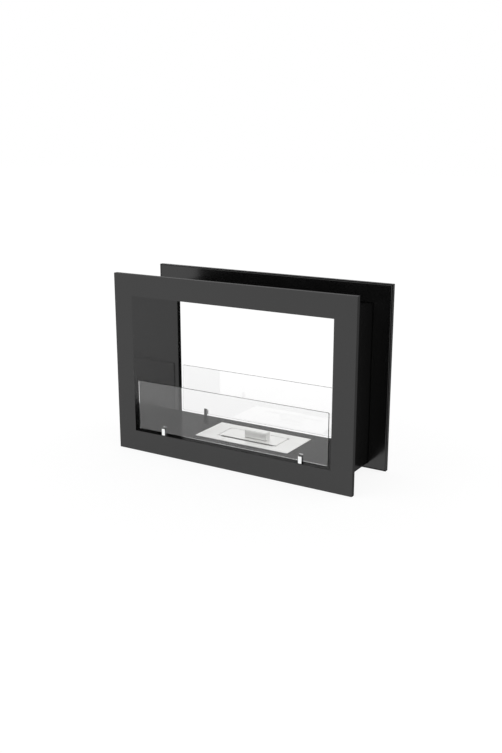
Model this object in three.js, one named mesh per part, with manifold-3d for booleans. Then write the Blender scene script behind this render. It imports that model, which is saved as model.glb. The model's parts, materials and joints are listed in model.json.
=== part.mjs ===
// Double-sided ethanol fireplace: two hollow picture frames of folded steel joined by an open tunnel.
// The tunnel's floor carries a lift-out burner, and two low glass panes stand in chromed clips on it.
// Millimetres, +Z up. The origin lies under the middle of the object, on the surface it stands on.
// X runs along the width, and the frame called front faces -Y.

import * as THREE from 'three';
import { mergeVertices } from 'three/addons/utils/BufferGeometryUtils.js';
import Module from 'manifold-3d';

// Driving dimensions of the whole
const overallWidth = 650;
const overallHeight = 446;
const overallDepth = 200;

// Sheet steel
const sheet = 1.5;
const bendRadius = 0.5; // inside radius of a fold
const seatGap = 0.3; // clearance between two folded pieces that seat on each other

// Frames: a tray open to the rear, and a collar of channel section that closes it
const frameBorder = 52.5;
const frameDepth = 13;
const collarFlange = 9; // depth of the collar's two turned edges

// Tunnel between the frames
const wallRecess = 4.5; // how far walls and ceiling stand back behind the edge of the opening
const tunnelBottom = 13.5; // height of the base cover's underside
const foldedEdge = 12; // depth of the turned edges of floor, base cover and walls

// Glass panes
const glassEndGap = 9.9; // from the edge of the opening to the end of the pane
const glassHeight = 123.2;
const glassThickness = 4;
const glassSetback = 4.8; // from the frame's face to the outer face of the pane
const glassCornerRadius = 2;
const glassArris = 0.4; // ground edge of the pane

// Clips that hold the panes
const clipInset = 71.6; // from the end of the pane to the middle of its clip
const clipOffset = 3; // of each pair of clips to the right, seen from the front
const clipWidth = 9.1;
const clipOuterHeight = 17.2; // the leg in front of the pane is the shorter one
const clipInnerHeight = 21.8;
const clipLeg = 2.1;
const clipWeb = 6.1;
const clipChamfer = 0.6;
const clipScrewShift = 1.8; // from under the pane's middle inwards, clear of the floor's turned edge
const liner = 0.6; // thickness of the clip's rubber liner
const linerDrop = 1; // the liner ends this much below the top of each leg

// Burner: a flanged plate with a tank under it
const burnerLength = 260;
const burnerWidth = 120;
const burnerSheet = 1.5;
const burnerOffsetX = 7.5;
const burnerOffsetY = 6.5;
const burnerLap = 8; // how far the plate lies on the floor round the cut-out
const burnerCorner = 2;
const apertureMarginX = 46; // width of the plate left and right of the aperture
const apertureMarginY = 25; // and in front of it and behind it
const tankClearance = 3; // round the tank in the floor's cut-out
const tankDepth = 31;
const tankCorner = 6;

// Inside the tank: ceramic wool under a perforated cover
const woolHeight = 20;
const coverSheet = 1;
const coverRim = 7.5; // how far the cover's edge is drawn down round the wool
const coverClearance = 0.5; // between the cover's edge and the tank
const holeRadius = 3;
const holePitch = 12;
const holeMargin = 5; // from the aperture's edge to the outermost holes

// Lid with its grip
const ledgeReach = 10; // how far a ledge stands into the aperture
const ledgeLap = 6; // how far it lies under the plate
const ledgeInset = 2; // how much shorter than the aperture's width a ledge is at each end
const lidGapLeft = 2; // between the lid and the edges of the aperture
const lidGapRight = 4;
const lidGapFront = 8.5;
const lidGapRear = 1.5;
const gripLength = 59;
const gripWidth = 20.5;
const gripHeight = 18.7;
const gripOffsetX = 14; // from the middle of the lid
const gripOffsetY = -3.25;
const gripFlange = 8;

// Fasteners
const screwRadius = 2;
const screwHeadRadius = 3.6;
const screwHeadHeight = 1.8;
const screwClearance = 0.3;
const clipScrewGrip = 4; // depth of the clip's screw in its web
const boreDepthSpare = 0.4; // depth of the clip's bore past the end of its screw
const frameScrewInset = 75; // from the frame's end to its outer screws
const frameScrewLength = 6;
const coverScrewInset = 40; // from the end of the base cover to its screws
const coverScrewLength = 6;
const rivetRadius = 1.2;
const rivetHeadRadius = 2.2;
const rivetHeadHeight = 0.8;
const rivetInset = 11.5; // from the end of the grip to its rivets

const overrun = 1; // by which a cutting shape passes the face that it cuts
const bendSteps = 3; // facets in the arc of a fold or corner
const roundSteps = 12; // facets round a screw, bore or rivet
const holeSteps = 4; // facets in half a hole of the perforated cover

// Places worked out from the sizes above
const frontY = -overallDepth / 2;
const openingHalf = overallWidth / 2 - frameBorder;
const hearthTop = frameBorder;
const tunnelHalf = openingHalf + wallRecess;
const tunnelTop = overallHeight - frameBorder + wallRecess;
const tunnelHalfDepth = overallDepth / 2 - sheet - seatGap;
const baseTop = tunnelBottom + sheet;
const glassWidth = 2 * (openingHalf - glassEndGap);
const glassBottom = hearthTop + clipWeb + liner;
const glassCentreY = frontY + glassSetback + glassThickness / 2;
const clipScrewY = glassCentreY + clipScrewShift;
const slotHalf = glassThickness / 2 + seatGap;
const clipHalfDepth = slotHalf + liner + clipLeg;
const clipX = glassWidth / 2 - clipInset;
const apertureLength = burnerLength - 2 * apertureMarginX;
const apertureWidth = burnerWidth - 2 * apertureMarginY;
const cutoutLength = burnerLength - 2 * burnerLap;
const cutoutWidth = burnerWidth - 2 * burnerLap;
const tankLength = cutoutLength - 2 * tankClearance;
const tankWidth = cutoutWidth - 2 * tankClearance;
const tankInnerLength = tankLength - 2 * burnerSheet;
const tankInnerWidth = tankWidth - 2 * burnerSheet;
const coverLength = tankInnerLength - 2 * coverClearance;
const coverWidth = tankInnerWidth - 2 * coverClearance;
const coverCorner = tankCorner - burnerSheet - coverClearance;
const woolInset = coverSheet + seatGap;
const woolBottom = hearthTop - tankDepth + burnerSheet;
const lidLength = apertureLength - lidGapLeft - lidGapRight;
const lidWidth = apertureWidth - lidGapFront - lidGapRear;
const lidOffsetX = (lidGapLeft - lidGapRight) / 2;
const lidOffsetY = (lidGapFront - lidGapRear) / 2;

const wasm = await Module();
wasm.setup();

// Finishes
function finish(name, color, roughness, metalness) {
  const material = new THREE.MeshStandardMaterial({ color, roughness, metalness });
  material.name = name;
  return material;
}

function blackCoat() {
  return finish('black_powder_coat', 0x141415, 0.3, 0);
}

function brushedStainless() {
  return finish('brushed_stainless', 0xd9dad8, 0.32, 1);
}

function polishedChrome() {
  return finish('polished_chrome', 0xf0f1f2, 0.06, 1);
}

function zincPlate() {
  return finish('zinc_plate', 0xb9bcc0, 0.4, 1);
}

function ceramicWool() {
  return finish('ceramic_wool', 0xe9e7e0, 0.95, 0);
}

function blackRubber() {
  return finish('black_rubber', 0x1b1b1c, 0.75, 0);
}

function clearGlass() {
  const material = finish('clear_glass', 0xe9f3ef, 0.02, 0);
  material.transparent = true;
  material.opacity = 0.25;
  return material;
}

// Geometry helpers

// Turns the triangles round where a closed surface would point inwards.
function facingOut(geometry) {
  const spot = geometry.getAttribute('position');
  const index = Array.from(geometry.index.array);
  const [a, b, c] = [new THREE.Vector3(), new THREE.Vector3(), new THREE.Vector3()];
  let volume = 0;
  for (let i = 0; i < index.length; i += 3) {
    a.fromBufferAttribute(spot, index[i]);
    b.fromBufferAttribute(spot, index[i + 1]);
    c.fromBufferAttribute(spot, index[i + 2]);
    volume += a.dot(b.cross(c));
  }
  geometry.setIndex(volume < 0 ? index.reverse() : index);
  return geometry;
}

// Merges the vertices that share a place, so that the surface is closed.
function sealed(geometry) {
  geometry.deleteAttribute('normal');
  geometry.deleteAttribute('uv');
  return mergeVertices(geometry);
}

function toSolid(geometry) {
  const closed = sealed(geometry.clone());
  return new wasm.Manifold(new wasm.Mesh({
    numProp: 3,
    vertProperties: new Float32Array(closed.getAttribute('position').array),
    triVerts: new Uint32Array(closed.index.array),
  }));
}

function toGeometry(solid) {
  const mesh = solid.getMesh();
  const geometry = new THREE.BufferGeometry();
  geometry.setAttribute('position', new THREE.BufferAttribute(new Float32Array(mesh.vertProperties), 3));
  geometry.setIndex(new THREE.BufferAttribute(new Uint32Array(mesh.triVerts), 1));
  geometry.computeVertexNormals();
  return geometry;
}

function joined(...geometries) {
  return toGeometry(geometries.map(toSolid).reduce((whole, next) => whole.add(next)));
}

function cut(geometry, ...tools) {
  return toGeometry(tools.map(toSolid).reduce((whole, tool) => whole.subtract(tool), toSolid(geometry)));
}

// Points of the arc that rounds one corner of an outline; a radius of zero keeps the corner.
function roundedCorner(before, corner, after, radius) {
  if (radius <= 0) return [corner];
  const toBefore = before.clone().sub(corner).normalize();
  const toAfter = after.clone().sub(corner).normalize();
  const half = Math.acos(THREE.MathUtils.clamp(toBefore.dot(toAfter), -1, 1)) / 2;
  const centre = toBefore.clone().add(toAfter).normalize().multiplyScalar(radius / Math.sin(half)).add(corner);
  const start = corner.clone().addScaledVector(toBefore, radius / Math.tan(half)).sub(centre);
  const turn = Math.sign(toAfter.cross(toBefore)) * (Math.PI - 2 * half);
  return Array.from({ length: bendSteps + 1 }, (_, i) =>
    start.clone().rotateAround(new THREE.Vector2(), (turn * i) / bendSteps).add(centre));
}

// Outline of a sheet bent along the given line: the line is one face, the other lies to its left.
// Every bend has the same inside radius, and its outside radius is larger by the thickness.
function foldedOutline(line, thickness, insideRadius) {
  const points = line.map(([u, v]) => new THREE.Vector2(u, v));
  const last = points.length - 1;
  const leftOf = (from, to) => {
    const along = to.clone().sub(from).normalize();
    return new THREE.Vector2(-along.y, along.x);
  };
  const offset = points.map((point, i) => {
    const into = leftOf(points[Math.max(i - 1, 0)], points[Math.max(i, 1)]);
    const out = leftOf(points[Math.min(i, last - 1)], points[Math.min(i + 1, last)]);
    const mitre = into.clone().add(out).normalize();
    return point.clone().addScaledVector(mitre, thickness / mitre.dot(out));
  });
  const side = (row, innerSide) => row.flatMap((point, i) => {
    if (i === 0 || i === last) return [point];
    const turnsLeft = leftOf(points[i - 1], points[i]).dot(points[i + 1].clone().sub(points[i])) > 0;
    const radius = turnsLeft === innerSide ? insideRadius : insideRadius + thickness;
    return roundedCorner(row[i - 1], point, row[i + 1], radius);
  });
  return [...side(points, false), ...side(offset, true).reverse()];
}

function roundedRectangle(length, width, radius) {
  const [x, y] = [length / 2, width / 2];
  const corners = [[x, -y], [x, y], [-x, y], [-x, -y]].map(([u, v]) => new THREE.Vector2(u, v));
  return corners.flatMap((corner, i) =>
    roundedCorner(corners[(i + 3) % 4], corner, corners[(i + 1) % 4], radius));
}

// An outline carried straight along one axis, from zero to the given length.
// Its two coordinates are (x, y) along z, (y, z) along x, and (z, x) along y.
function extruded(outline, length, axis) {
  const geometry = new THREE.ExtrudeGeometry(new THREE.Shape(outline), { depth: length, bevelEnabled: false });
  const [x, y, z] = [new THREE.Vector3(1, 0, 0), new THREE.Vector3(0, 1, 0), new THREE.Vector3(0, 0, 1)];
  const basis = { x: [y, z, x], y: [z, x, y], z: [x, y, z] }[axis];
  return geometry.applyMatrix4(new THREE.Matrix4().makeBasis(...basis));
}

function centred(outline, length, axis) {
  const shift = new THREE.Vector3();
  shift[axis] = -length / 2;
  return extruded(outline, length, axis).translate(shift.x, shift.y, shift.z);
}

// A section carried round a rectangle with mitred corners. The outline and the hole are rectangles
// [left, right, low, high]; a point of the section in its outer half keeps its distance from the
// outline, and one in its inner half keeps its distance from the hole.
function mitredRing(outline, hole, section, place) {
  const width = hole[0] - outline[0];
  const positions = section.flatMap(({ x: u, y: depth }) => {
    const [base, inset] = u < width / 2 ? [outline, u] : [hole, u - width];
    const [left, right, low, high] = [base[0] + inset, base[1] - inset, base[2] + inset, base[3] - inset];
    return [[left, low], [right, low], [right, high], [left, high]].flatMap(([a, b]) => place(a, b, depth));
  });
  const index = [];
  for (let i = 0; i < section.length; i += 1) {
    const next = (i + 1) % section.length;
    for (let corner = 0; corner < 4; corner += 1) {
      const along = (corner + 1) % 4;
      const [a, b, c, d] = [i * 4 + corner, i * 4 + along, next * 4 + along, next * 4 + corner];
      index.push(a, b, c, a, c, d);
    }
  }
  const geometry = new THREE.BufferGeometry();
  geometry.setAttribute('position', new THREE.Float32BufferAttribute(positions, 3));
  geometry.setIndex(index);
  facingOut(geometry).computeVertexNormals();
  return geometry;
}

const upright = (a, b, depth) => [a, frontY + depth, b];
const level = (a, b, height) => [a, b, height];

// A turned part about +Z, from pairs of radius and height that start and end on the axis.
function turned(profile) {
  const points = profile.map(([radius, height]) => new THREE.Vector2(radius, height));
  return new THREE.LatheGeometry(points, roundSteps).rotateX(Math.PI / 2);
}

function pin(radius, low, high) {
  return turned([[0, low], [radius, low], [radius, high], [0, high]]);
}

function mesh(name, geometry, material, parent, x = 0, y = 0, z = 0) {
  const part = new THREE.Mesh(geometry, material);
  part.name = name;
  part.position.set(x, y, z);
  parent.add(part);
  return part;
}

// The same fastener at each of several spots, numbered from one.
function fasteners(name, geometry, spots, parent) {
  spots.forEach(([x, y, z], i) => mesh(`${name}_${i + 1}`, geometry, zincPlate(), parent, x, y, z));
}

// Frames

const frameOutline = [-overallWidth / 2, overallWidth / 2, 0, overallHeight];
const frameOpening = [-openingHalf, openingHalf, frameBorder, overallHeight - frameBorder];
const frameScrewY = frontY + frameDepth - collarFlange / 2;
const frameScrewX = overallWidth / 2 - frameScrewInset;
const frameScrewSpots = [-1, 0, 1].map((step) => [step * frameScrewX, frameScrewY, 0]);

// Countersunk screw with its flat head downwards at the height zero.
function countersunk(spare) {
  const [shank, head] = [screwRadius + spare, screwHeadRadius + spare];
  return [[0, 0], [head, 0], [shank, sheet], [shank, frameScrewLength], [0, frameScrewLength]];
}

// The tray: a face with the opening, and an edge turned back all round it, mitred and welded.
function frameTray() {
  const section = foldedOutline([[0, frameDepth], [0, 0], [frameBorder, 0]], sheet, bendRadius);
  const tray = mitredRing(frameOutline, frameOpening, section, upright);
  const sink = turned([[0, -overrun], [screwHeadRadius + screwClearance, -overrun],
    ...countersunk(screwClearance).slice(1)]);
  return cut(tray, ...frameScrewSpots.map(([x, y, z]) => sink.clone().translate(x, y, z)));
}

// The collar: it slips into the tray, lies flush with its turned edge and fits round the tunnel.
function frameCollar() {
  const inset = sheet + seatGap;
  const outline = [frameOutline[0] + inset, frameOutline[1] - inset, inset, overallHeight - inset];
  const reach = tunnelHalf + sheet + seatGap;
  const hole = [-reach, reach, tunnelBottom - seatGap, tunnelTop + sheet + seatGap];
  const width = hole[0] - outline[0];
  const front = frameDepth - collarFlange;
  const line = [[width, front], [width, frameDepth], [0, frameDepth], [0, front]];
  const collar = mitredRing(outline, hole, foldedOutline(line, sheet, bendRadius), upright);
  const bore = pin(screwRadius + screwClearance, 0, frameScrewLength);
  return cut(collar, ...frameScrewSpots.map(([x, y, z]) => bore.clone().translate(x, y, z)));
}

// Tunnel

// A flat sheet with its front and rear edges turned down, as seen along x; height zero is its top.
function channelSection() {
  const half = tunnelHalfDepth;
  const line = [[half, -foldedEdge], [half, 0], [-half, 0], [-half, -foldedEdge]];
  return foldedOutline(line, sheet, bendRadius);
}

const coverScrewX = tunnelHalf - (foldedEdge - sheet) / 2;
const coverScrewY = tunnelHalfDepth - coverScrewInset;
const coverScrewSpots = [-1, 1].flatMap((across) =>
  [-1, 1].map((along) => [across * coverScrewX, along * coverScrewY, tunnelBottom]));

// A side wall, with its lower edge turned inwards over the base cover. The side is -1 or 1.
function tunnelWall(side) {
  const inner = side * tunnelHalf;
  const outer = side * (tunnelHalf + sheet);
  const foot = side * (tunnelHalf + sheet - foldedEdge);
  const rising = [[tunnelTop, outer], [baseTop, outer], [baseTop, foot]];
  const line = side < 0 ? rising.reverse() : rising;
  const wall = centred(foldedOutline(line, sheet, bendRadius), 2 * tunnelHalfDepth, 'y');
  const bore = pin(screwRadius + screwClearance, baseTop - overrun, baseTop + sheet + overrun);
  const spots = coverScrewSpots.filter(([x]) => Math.sign(x) === Math.sign(inner));
  return cut(wall, ...spots.map(([x, y]) => bore.clone().translate(x, y, 0)));
}

function tunnelCeiling() {
  const length = 2 * (tunnelHalf + sheet);
  return extruded(roundedRectangle(length, 2 * tunnelHalfDepth, 0), sheet, 'z');
}

// Base cover: the channel turned over, with its edges standing up inside the frames.
function baseCover() {
  const length = 2 * (tunnelHalf + sheet);
  const flat = roundedRectangle(length, 2 * tunnelHalfDepth, 0);
  const lips = [-1, 1].map((end) => {
    const lip = roundedRectangle(2 * (tunnelHalf - foldedEdge), sheet, 0);
    return extruded(lip, foldedEdge, 'z').translate(0, end * (tunnelHalfDepth - sheet / 2), 0);
  });
  const bore = pin(screwRadius + screwClearance, -overrun, sheet + overrun);
  const bores = coverScrewSpots.map(([x, y]) => bore.clone().translate(x, y, 0));
  return cut(joined(extruded(flat, sheet, 'z'), ...lips), ...bores);
}

const clipSpots = [clipOffset - clipX, clipOffset + clipX];

// Floor of the tunnel, with the burner's cut-out and a hole under each clip.
function hearthFloor() {
  const plate = centred(channelSection(), 2 * (tunnelHalf - seatGap), 'x');
  const through = sheet + 2 * overrun;
  const low = -sheet - overrun;
  const cutout = extruded(roundedRectangle(cutoutLength, cutoutWidth, tankCorner), through, 'z');
  const bore = pin(screwRadius + screwClearance, low, overrun);
  const bores = clipSpots.flatMap((x) =>
    [-1, 1].map((end) => bore.clone().translate(x, end * clipScrewY, 0)));
  return cut(plate, cutout.translate(burnerOffsetX, burnerOffsetY, low), ...bores);
}

// Glass and clips

function glassPane() {
  const outline = roundedRectangle(
    glassWidth - 2 * glassArris, glassHeight - 2 * glassArris, glassCornerRadius - glassArris);
  const pane = new THREE.ExtrudeGeometry(new THREE.Shape(outline), {
    depth: glassThickness - 2 * glassArris,
    bevelThickness: glassArris,
    bevelSize: glassArris,
    bevelSegments: 1,
  });
  return pane.translate(0, glassHeight / 2, glassArris - glassThickness / 2).rotateX(Math.PI / 2);
}

// A U-shaped block, seen along x: chamfered outside, with a slot for the lined pane.
// The leg outside the pane is lower than the one inside it.
function glassClip() {
  const [outer, slot] = [clipHalfDepth, slotHalf + liner];
  const chamfered = outer - clipChamfer;
  const outline = [
    [-outer, 0], [outer, 0], [outer, clipInnerHeight - clipChamfer], [chamfered, clipInnerHeight],
    [slot, clipInnerHeight], [slot, clipWeb], [-slot, clipWeb], [-slot, clipOuterHeight],
    [-chamfered, clipOuterHeight], [-outer, clipOuterHeight - clipChamfer],
  ].map(([y, z]) => new THREE.Vector2(y, z));
  const bore = pin(screwRadius + screwClearance, -overrun, clipScrewGrip + boreDepthSpare);
  return cut(centred(outline, clipWidth, 'x'), bore.translate(0, clipScrewShift, 0));
}

// The liner: a rubber strip bent into the clip's slot, under and beside the pane.
function clipLiner() {
  const outer = slotHalf + liner;
  const [outerTop, innerTop] = [clipOuterHeight - linerDrop, clipInnerHeight - linerDrop];
  const line = [[-outer, outerTop], [-outer, clipWeb], [outer, clipWeb], [outer, innerTop]];
  return centred(foldedOutline(line, liner, 0), clipWidth, 'x');
}

function panHeadScrew(length) {
  return turned([[0, -screwHeadHeight], [screwHeadRadius, -screwHeadHeight], [screwHeadRadius, 0],
    [screwRadius, 0], [screwRadius, length], [0, length]]);
}

// Burner

// The top plate: a flat flange round the aperture that the lid lies in.
function burnerTop() {
  const shape = new THREE.Shape(roundedRectangle(burnerLength, burnerWidth, burnerCorner));
  shape.holes.push(new THREE.Path(roundedRectangle(apertureLength, apertureWidth, burnerCorner)));
  return new THREE.ExtrudeGeometry(shape, { depth: burnerSheet, bevelEnabled: false });
}

function burnerTank() {
  const outer = extruded(roundedRectangle(tankLength, tankWidth, tankCorner), tankDepth, 'z');
  const innerCorner = tankCorner - burnerSheet;
  const inner = extruded(roundedRectangle(tankInnerLength, tankInnerWidth, innerCorner), tankDepth, 'z');
  return cut(outer, inner.translate(0, 0, burnerSheet));
}

function lidLedge() {
  const outline = roundedRectangle(ledgeReach + ledgeLap, apertureWidth - 2 * ledgeInset, 0);
  return extruded(outline, burnerSheet, 'z');
}

function woolBlock() {
  const [length, width] = [coverLength - 2 * woolInset, coverWidth - 2 * woolInset];
  return extruded(roundedRectangle(length, width, coverCorner - woolInset), woolHeight, 'z');
}

// Centres of the cover's holes: staggered rows that stay within the aperture above them.
function holeCentres() {
  const reachX = apertureLength / 2 - holeMargin - holeRadius;
  const reachY = apertureWidth / 2 - holeMargin - holeRadius;
  const rowPitch = holePitch * Math.sin(Math.PI / 3);
  const rows = Math.floor(reachY / rowPitch);
  const centres = [];
  for (let row = -rows; row <= rows; row += 1) {
    const shift = (Math.abs(row) % 2) * (holePitch / 2);
    const steps = Math.floor((reachX - shift) / holePitch);
    for (let x = -steps * holePitch - shift; x <= reachX; x += holePitch) {
      centres.push([x, row * rowPitch]);
    }
  }
  return centres;
}

// The wool's cover: a shallow cap drawn down round the wool, perforated in staggered rows.
// Its height zero is the underside of its panel.
function perforatedCover() {
  const outline = roundedRectangle(coverLength, coverWidth, coverCorner);
  const panel = new THREE.Shape(outline);
  holeCentres().forEach(([x, y]) => {
    panel.holes.push(new THREE.Path().absarc(x, y, holeRadius, 0, 2 * Math.PI, true));
  });
  const rim = new THREE.Shape(outline);
  const [length, width] = [coverLength - 2 * coverSheet, coverWidth - 2 * coverSheet];
  rim.holes.push(new THREE.Path(roundedRectangle(length, width, coverCorner - coverSheet)));
  const drawn = (shape, depth, curveSegments) =>
    new THREE.ExtrudeGeometry(shape, { depth, bevelEnabled: false, curveSegments });
  const edge = drawn(rim, coverRim, holeSteps).translate(0, 0, coverSheet - coverRim);
  return joined(drawn(panel, coverSheet, holeSteps), edge);
}

// Lid and grip

const rivetX = gripLength / 2 - rivetInset;
const rivetY = gripWidth / 2 - burnerSheet - rivetHeadRadius - bendRadius;
const rivetSpots = [-1, 1].flatMap((along) =>
  [-1, 1].map((across) => [gripOffsetX + along * rivetX, gripOffsetY + across * rivetY, 0]));

function riveted(geometry, spots, low, high) {
  const bore = pin(rivetRadius + screwClearance, low - overrun, high + overrun);
  return cut(geometry, ...spots.map(([x, y]) => bore.clone().translate(x, y, 0)));
}

function lidPlate() {
  const plate = extruded(roundedRectangle(lidLength, lidWidth, burnerCorner), burnerSheet, 'z');
  return riveted(plate, rivetSpots, 0, burnerSheet);
}

// The grip: a strip folded into a box section that is open below, with a cap welded in each end.
function lidGrip() {
  const [side, flange] = [gripWidth / 2, gripWidth / 2 - gripFlange];
  const line = [[flange, 0], [side, 0], [side, gripHeight], [-side, gripHeight], [-side, 0], [-flange, 0]];
  const strip = centred(foldedOutline(line, burnerSheet, bendRadius), gripLength, 'x');
  const cap = extruded(roundedRectangle(gripWidth, gripHeight, bendRadius + burnerSheet), burnerSheet, 'x');
  const caps = [-gripLength / 2, gripLength / 2 - burnerSheet].map((x) =>
    cap.clone().translate(x, 0, gripHeight / 2));
  const spots = rivetSpots.map(([x, y]) => [x - gripOffsetX, y - gripOffsetY]);
  return riveted(joined(strip, ...caps), spots, 0, burnerSheet);
}

// A blind rivet through the lid and the grip's flange, with its head below.
function rivet() {
  const stack = 2 * burnerSheet;
  return turned([[0, -rivetHeadHeight], [rivetHeadRadius, -rivetHeadHeight], [rivetHeadRadius, 0],
    [rivetRadius, 0], [rivetRadius, stack], [rivetHeadRadius, stack],
    [rivetHeadRadius, stack + rivetHeadHeight], [0, stack + rivetHeadHeight]]);
}

// Assembly

// One end of the fireplace, built as the front: its frame, its pane and what holds them.
// The places of its clips are given along x, for the sides in the same order.
function endAssembly(end, sides, spots) {
  const group = new THREE.Group();
  mesh(`${end}_frame`, frameTray(), blackCoat(), group);
  mesh(`${end}_frame_collar`, frameCollar(), blackCoat(), group);
  fasteners(`${end}_frame_screw`, turned(countersunk(0)), frameScrewSpots, group);
  mesh(`${end}_glass`, glassPane(), clearGlass(), group, 0, glassCentreY, glassBottom);
  spots.forEach((x, i) => {
    mesh(`${end}_clip_${sides[i]}`, glassClip(), polishedChrome(), group, x, glassCentreY, hearthTop);
    mesh(`${end}_clip_liner_${sides[i]}`, clipLiner(), blackRubber(), group, x, glassCentreY, hearthTop);
  });
  const underClips = spots.map((x) => [x, clipScrewY, hearthTop - sheet]);
  fasteners(`${end}_clip_screw`, panHeadScrew(sheet + clipScrewGrip), underClips, group);
  return group;
}

function tunnelAssembly() {
  const group = new THREE.Group();
  mesh('tunnel_wall_left', tunnelWall(-1), blackCoat(), group);
  mesh('tunnel_wall_right', tunnelWall(1), blackCoat(), group);
  mesh('tunnel_ceiling', tunnelCeiling(), blackCoat(), group, 0, 0, tunnelTop);
  mesh('hearth_floor', hearthFloor(), blackCoat(), group, 0, 0, hearthTop);
  mesh('base_cover', baseCover(), blackCoat(), group, 0, 0, tunnelBottom);
  fasteners('base_cover_screw', panHeadScrew(coverScrewLength), coverScrewSpots, group);
  return group;
}

// The lid with its grip, placed from the middle of the lid's underside.
function lidAssembly() {
  const group = new THREE.Group();
  mesh('burner_lid', lidPlate(), brushedStainless(), group);
  mesh('lid_grip', lidGrip(), brushedStainless(), group, gripOffsetX, gripOffsetY, burnerSheet);
  fasteners('lid_rivet', rivet(), rivetSpots, group);
  return group;
}

// The burner, placed from the middle of its plate's underside.
function burnerAssembly() {
  const group = new THREE.Group();
  mesh('burner_plate', burnerTop(), brushedStainless(), group);
  mesh('burner_tank', burnerTank(), brushedStainless(), group, 0, 0, -tankDepth);
  const ledgeX = apertureLength / 2 + (ledgeLap - ledgeReach) / 2;
  mesh('lid_ledge_left', lidLedge(), brushedStainless(), group, -ledgeX, 0, -burnerSheet);
  mesh('lid_ledge_right', lidLedge(), brushedStainless(), group, ledgeX, 0, -burnerSheet);
  const woolZ = woolBottom - hearthTop;
  mesh('wool_insert', woolBlock(), ceramicWool(), group, 0, 0, woolZ);
  mesh('wool_cover', perforatedCover(), brushedStainless(), group, 0, 0, woolZ + woolHeight);
  const lid = lidAssembly();
  lid.position.set(lidOffsetX, lidOffsetY, 0);
  group.add(lid);
  group.position.set(burnerOffsetX, burnerOffsetY, hearthTop);
  return group;
}

const fireplace = new THREE.Group();
const front = endAssembly('front', ['left', 'right'], clipSpots);
const rear = endAssembly('rear', ['left', 'right'], clipSpots.map((x) => -x));
rear.rotation.z = Math.PI;
fireplace.add(front, rear, tunnelAssembly(), burnerAssembly());

export default fireplace;
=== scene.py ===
"""Looks of a double-sided ethanol fireplace, built round its fixed frame of solids."""

import json
import math

import bmesh
import bpy
import numpy as np
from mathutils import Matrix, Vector


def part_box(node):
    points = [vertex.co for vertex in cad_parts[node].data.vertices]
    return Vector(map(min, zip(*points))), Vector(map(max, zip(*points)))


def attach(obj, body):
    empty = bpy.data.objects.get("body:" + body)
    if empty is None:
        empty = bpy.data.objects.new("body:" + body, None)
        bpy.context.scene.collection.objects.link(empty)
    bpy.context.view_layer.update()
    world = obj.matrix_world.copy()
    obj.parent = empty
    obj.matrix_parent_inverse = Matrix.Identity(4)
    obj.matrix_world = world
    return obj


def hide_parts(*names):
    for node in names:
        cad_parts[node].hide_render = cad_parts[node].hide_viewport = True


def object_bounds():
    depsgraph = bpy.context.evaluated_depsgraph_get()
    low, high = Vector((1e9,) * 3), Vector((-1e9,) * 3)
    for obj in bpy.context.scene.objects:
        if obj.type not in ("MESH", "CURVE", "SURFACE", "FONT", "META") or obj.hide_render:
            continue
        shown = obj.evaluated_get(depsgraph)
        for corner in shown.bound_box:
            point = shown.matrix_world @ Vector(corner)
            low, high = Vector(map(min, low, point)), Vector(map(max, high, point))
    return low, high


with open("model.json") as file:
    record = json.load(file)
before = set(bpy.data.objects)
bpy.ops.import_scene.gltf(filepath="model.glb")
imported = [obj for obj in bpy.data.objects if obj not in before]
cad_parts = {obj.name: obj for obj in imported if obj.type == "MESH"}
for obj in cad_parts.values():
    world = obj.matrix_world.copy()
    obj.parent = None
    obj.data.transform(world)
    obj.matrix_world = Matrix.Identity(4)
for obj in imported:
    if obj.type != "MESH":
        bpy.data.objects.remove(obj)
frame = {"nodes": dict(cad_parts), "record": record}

CAD_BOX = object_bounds()

bl_info = {
    "name": "Double-sided ethanol fireplace",
    "version": (1, 0, 0),
    "blender": (4, 5, 0),
    "location": "3D View > Sidebar > Fireplace",
    "description": "Builds the surfaces, materials and studio of a see-through fireplace",
    "category": "Object",
}

MM = 0.001
WHITE = (1.0, 1.0, 1.0, 1.0)

# The photograph's frame in pixels, and the camera's sensor in millimetres
IMAGE_WIDTH = 502
IMAGE_HEIGHT = 753
SENSOR_WIDTH = 36.0

# The studio in metres: the floor's half width, how far out its shadow begins to fade and is gone,
# the lamps' places, and the side of a lamp
FLOOR_REACH = 15.0
SHADOW_ENDS = (0.45, 0.95)
KEY_PLACE = (-1.8, -2.2, 2.4)
FILL_PLACE = (2.2, 1.6, 2.2)
LAMP_SIZE = 2.5

# Strength of the floor's plain share, which with the lit paint's share comes to 1
PLAIN_STRENGTH = 1.03

# Edges sharper than this stay sharp, in degrees: most pieces, ground glass, turned screws, felt
CREASE = 35.0
GLASS_CREASE = 50.0
SCREW_CREASE = 30.0
FELT_CREASE = 70.0

# Roundings of the edges of the burner's plates and of the clips
PLATE_EDGE = 0.3 * MM
CLIP_EDGE = 0.35 * MM

# Inside radii of the tank's bottom edge and of a liner's bends, and the least radius of an outline
TANK_BEND = 1.5 * MM
LINER_BEND = 0.1 * MM
LEAST_RADIUS = 0.05 * MM

# How far cutters reach past a face, through the hearth floor, and up through tray and collar
OVERSHOOT = 1 * MM
FLOOR_CUT = 5 * MM
FRAME_BORE_TOP = 8 * MM

# The wool: radius of its corners, height of its lumps, half width of its innermost loop, number of
# its loops, over what share of the way in the lumps grow, and its waves in radians per mm, x and y
WOOL_CORNER = 3 * MM
WOOL_LUMP = 0.25 * MM
WOOL_MIDDLE = 1 * MM
WOOL_LOOPS = 14
WOOL_FADE = 1 / 6
WOOL_WAVES = ((0.9, 0.4), (0.5, -1.1), (0.3, 1.7))

# Screws: height of a pan head, depth of a socket, and chamfers of a sunk head, a socket and a tip
PAN_HEAD = 1.8 * MM
SOCKET_DEPTH = 1.2 * MM
SINK_RIM = 0.1 * MM
SOCKET_RIM = 0.15 * MM
SCREW_TIP = 0.5 * MM

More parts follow.
